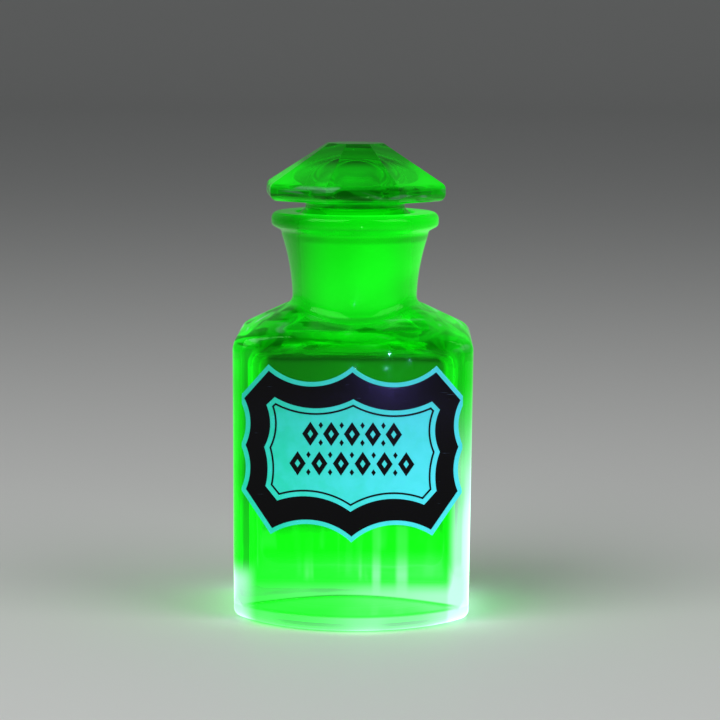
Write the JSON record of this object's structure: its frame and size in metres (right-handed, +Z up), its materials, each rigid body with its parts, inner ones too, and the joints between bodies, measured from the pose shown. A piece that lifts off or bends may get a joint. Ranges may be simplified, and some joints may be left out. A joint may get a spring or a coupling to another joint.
{
  "type": "apothecary jar",
  "caption": "Green glowing glass apothecary powder jar with flat panels, a round foot, a shaped black and pale label and a ground stopper with an eight-sided faceted head.",
  "frame": {"origin": "centre of the foot on the surface that the jar stands on", "axes": "+Z up along the neck's axis, -Y out of the front panel that carries the label, +X to the right seen from the front"},
  "size_m": [0.08, 0.093, 0.1585],
  "materials": {
    "jar_glass": "pressed uranium glass, clear and glossy, ground matt inside the neck",
    "stopper_glass": "pressed uranium glass, fire-polished facets, ground matt plug",
    "label_pale": "pale fired enamel, satin",
    "label_dark": "black fired enamel, glossy with fine scratches"
  },
  "bodies": {
    "bottle": {"bottle": "jar_glass", "label_ground": "label_pale", "label_border": "label_dark", "label_hairline": "label_dark", "label_ornament": "label_dark"},
    "stopper": {"stopper": "stopper_glass"}
  },
  "joints": [
    {"name": "stopper_lift", "type": "slide", "parent": "bottle", "child": "stopper", "axis": [0, 0, 1], "range_m": [0, 0.05]}
  ]
}
